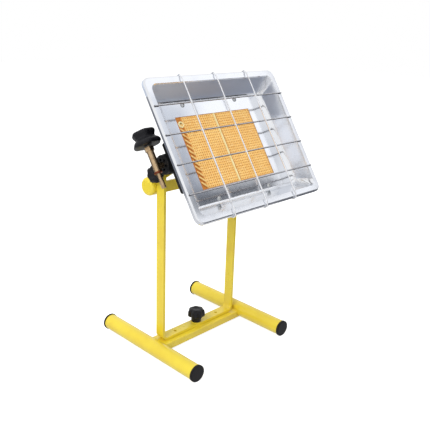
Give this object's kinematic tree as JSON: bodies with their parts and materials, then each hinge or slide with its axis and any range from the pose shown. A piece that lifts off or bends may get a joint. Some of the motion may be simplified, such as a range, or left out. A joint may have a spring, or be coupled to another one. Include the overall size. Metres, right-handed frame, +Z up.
{
  "type": "portable gas heater",
  "caption": "Portable radiant gas heater: guarded steel reflector with ceramic plaques on a tilting yoke, swivelling flat-bar frame and tube feet.",
  "frame": {"origin": "on the floor under the swivel axis, midway between the feet", "axes": "+X to the right seen from the front, the heater faces -Y, +Z up"},
  "size_m": [0.32, 0.2963, 0.5217],
  "materials": {
    "yellow_paint": "gloss yellow powder coat",
    "cap_plastic": "moulded black",
    "knob_plastic": "moulded black, fine texture",
    "zinc_steel": "zinc plated",
    "nylon": "natural nylon",
    "brass": "turned",
    "copper": "plain copper",
    "stainless": "polished stainless sheet",
    "guard_wire": "bright plated wire",
    "black_casting": "cast, matt black heat paint",
    "plaque_ceramic": "perforated, lit amber",
    "seam_fibre": "pressed ceramic fibre",
    "eyelet_steel": "turned"
  },
  "bodies": {
    "base": {"foot_tube_left": "yellow_paint", "foot_tube_right": "yellow_paint", "foot_cap_front_left": "cap_plastic", "foot_cap_front_right": "cap_plastic", "foot_cap_rear_left": "cap_plastic", "foot_cap_rear_right": "cap_plastic", "cross_bar": "yellow_paint", "swivel_stud": "zinc_steel", "swivel_washer": "nylon"},
    "frame": {"swivel_frame": "yellow_paint", "top_rail": "yellow_paint", "rear_boss_left": "yellow_paint", "rear_boss_right": "yellow_paint", "friction_washer_left": "nylon", "friction_washer_right": "nylon", "knob_washer_left": "zinc_steel", "knob_washer_right": "zinc_steel"},
    "base_clamp": {"base_knob": "knob_plastic", "base_knob_insert": "brass", "base_knob_washer": "zinc_steel"},
    "head": {"tilt_yoke": "yellow_paint", "pivot_bolt_left": "zinc_steel", "pivot_bolt_right": "zinc_steel", "burner_housing": "black_casting", "reflector": "stainless", "ceramic_plaque_left": "plaque_ceramic", "ceramic_plaque_right": "plaque_ceramic", "plaque_seam": "seam_fibre", "plaque_gasket": "seam_fibre", "lighting_eyelet": "eyelet_steel", "guard_grille": "guard_wire", "mixer_tube": "black_casting", "injector": "brass", "valve_body": "brass", "gland_nut": "brass", "inlet_seal": "copper", "hose_tail": "brass", "reflector_screws": "zinc_steel", "yoke_screws": "zinc_steel"},
    "tilt_clamp_left": {"tilt_knob_left": "knob_plastic", "tilt_knob_insert_left": "brass"},
    "tilt_clamp_right": {"tilt_knob_right": "knob_plastic", "tilt_knob_insert_right": "brass"},
    "gas_control": {"valve_knob": "knob_plastic", "valve_stem": "eyelet_steel"}
  },
  "joints": [
    {"name": "frame_swivel", "type": "hinge", "parent": "base", "child": "frame", "pos_m": [0, 0, 0], "axis": [0, 0, 1], "continuous": true},
    {"name": "base_knob_turn", "type": "hinge", "parent": "base", "child": "base_clamp", "pos_m": [0, 0, 0.03], "axis": [0, 0, 1], "continuous": true},
    {"name": "head_tilt", "type": "hinge", "parent": "frame", "child": "head", "pos_m": [0, 0, 0.35], "axis": [1, 0, 0], "range_deg": [-56.6, 53.4]},
    {"name": "tilt_knob_turn_left", "type": "hinge", "parent": "frame", "child": "tilt_clamp_left", "pos_m": [-0.1, 0, 0.35], "axis": [-1, 0, 0], "continuous": true},
    {"name": "tilt_knob_turn_right", "type": "hinge", "parent": "frame", "child": "tilt_clamp_right", "pos_m": [0.1, 0, 0.35], "axis": [1, 0, 0], "continuous": true},
    {"name": "valve_turn", "type": "hinge", "parent": "head", "child": "gas_control", "pos_m": [-0.132, -0.00612, 0.40794], "axis": [0, 0.5505, 0.8348], "range_deg": [0, 270]}
  ]
}
